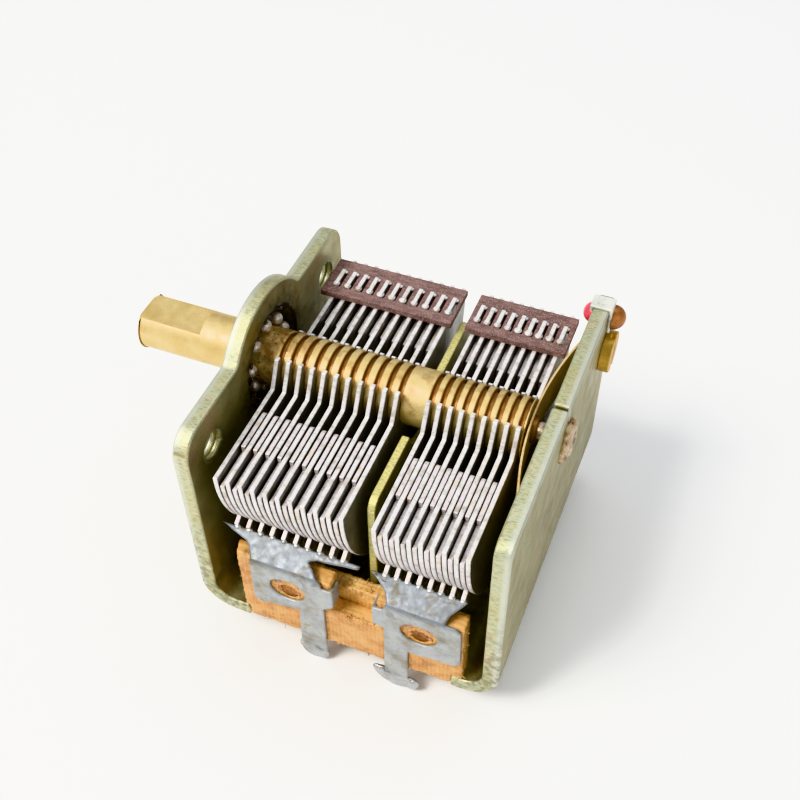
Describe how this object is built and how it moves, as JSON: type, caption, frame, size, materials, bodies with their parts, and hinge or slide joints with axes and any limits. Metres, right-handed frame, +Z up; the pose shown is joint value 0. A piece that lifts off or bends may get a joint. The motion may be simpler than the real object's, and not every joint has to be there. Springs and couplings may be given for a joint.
{
  "type": "variable tuning capacitor",
  "caption": "Open-frame two-gang air variable capacitor: a shaft turns interleaved rotor plates between fixed stators in a bent steel frame.",
  "frame": {"origin": "on the shaft axis, at the outer face of the front plate, midway between its two tapped holes", "axes": "+X runs along the shaft from the knob end to the rear plate, +Y across the frame to the side of the comb strips when meshed, +Z up from the base"},
  "size_m": [0.0505, 0.038, 0.0354],
  "materials": {
    "plated_sheet": "satin, zinc plated and yellow passivated",
    "screen_sheet": "satin, zinc plated and yellow passivated",
    "board": "cut cloth laminate, matt",
    "strip": "cut cloth laminate, matt",
    "rivet": "lacquered",
    "spring_brass": "satin, cold rolled",
    "screw_brass": "satin, tarnished",
    "screw_steel": "dull, lacquer stained",
    "ball_steel": "polished, greasy",
    "tinned_tag": "bright tinned",
    "copper": "dark, lacquered",
    "red_lacquer": "glossy lacquer",
    "shaft_brass": "turned, satin",
    "comb_fibre": "vulcanised fibre, matt",
    "tinned_bracket": "dull tinned, solder covered",
    "rotor_sheet": "matt, sheared edges",
    "stator_sheet": "matt, sheared edges"
  },
  "bodies": {
    "frame": {"chassis": "plated_sheet", "screen_plate": "screen_sheet", "near_board": "board", "near_strip": "strip", "far_board": "board", "far_strip": "strip", "near_bracket_a": "tinned_bracket", "near_bracket_b": "tinned_bracket", "far_bracket_a": "tinned_bracket", "far_bracket_b": "tinned_bracket", "board_rivets": "rivet", "wiper_spring": "spring_brass", "spring_screw": "screw_brass", "thrust_screw": "screw_steel", "thrust_ball": "ball_steel", "earth_tag": "tinned_tag", "earth_rivet": "copper", "lacquer_seal": "red_lacquer", "stator_plate_a1": "stator_sheet", "stator_plate_a2": "stator_sheet", "stator_plate_a3": "stator_sheet", "stator_plate_a4": "stator_sheet", "stator_plate_a5": "stator_sheet", "stator_plate_a6": "stator_sheet", "stator_plate_a7": "stator_sheet", "stator_plate_a8": "stator_sheet", "stator_plate_a9": "stator_sheet", "stator_plate_a10": "stator_sheet", "stator_plate_b1": "stator_sheet", "stator_plate_b2": "stator_sheet", "stator_plate_b3": "stator_sheet", "stator_plate_b4": "stator_sheet", "stator_plate_b5": "stator_sheet", "stator_plate_b6": "stator_sheet", "stator_plate_b7": "stator_sheet", "stator_plate_b8": "stator_sheet"},
    "rotor": {"rotor_shaft": "shaft_brass", "comb_a": "comb_fibre", "comb_b": "comb_fibre", "rotor_plate_a1": "rotor_sheet", "rotor_plate_a2": "rotor_sheet", "rotor_plate_a3": "rotor_sheet", "rotor_plate_a4": "rotor_sheet", "rotor_plate_a5": "rotor_sheet", "rotor_plate_a6": "rotor_sheet", "rotor_plate_a7": "rotor_sheet", "rotor_plate_a8": "rotor_sheet", "rotor_plate_a9": "rotor_sheet", "rotor_plate_a10": "rotor_sheet", "rotor_plate_a11": "rotor_sheet", "rotor_plate_b1": "rotor_sheet", "rotor_plate_b2": "rotor_sheet", "rotor_plate_b3": "rotor_sheet", "rotor_plate_b4": "rotor_sheet", "rotor_plate_b5": "rotor_sheet", "rotor_plate_b6": "rotor_sheet", "rotor_plate_b7": "rotor_sheet", "rotor_plate_b8": "rotor_sheet", "rotor_plate_b9": "rotor_sheet"},
    "ball_ring": {"bearing_balls": "ball_steel"}
  },
  "joints": [
    {"name": "rotor_turn", "type": "hinge", "parent": "frame", "child": "rotor", "pos_m": [0, 0, 0], "axis": [1, 0, 0], "range_deg": [0, 174]},
    {"name": "ball_orbit", "type": "hinge", "parent": "frame", "child": "ball_ring", "pos_m": [0, 0, 0], "axis": [1, 0, 0], "range_deg": [0, 70]}
  ],
  "couplings": [
    {"joint": "ball_orbit", "follows": "rotor_turn", "ratio": 0.401}
  ]
}
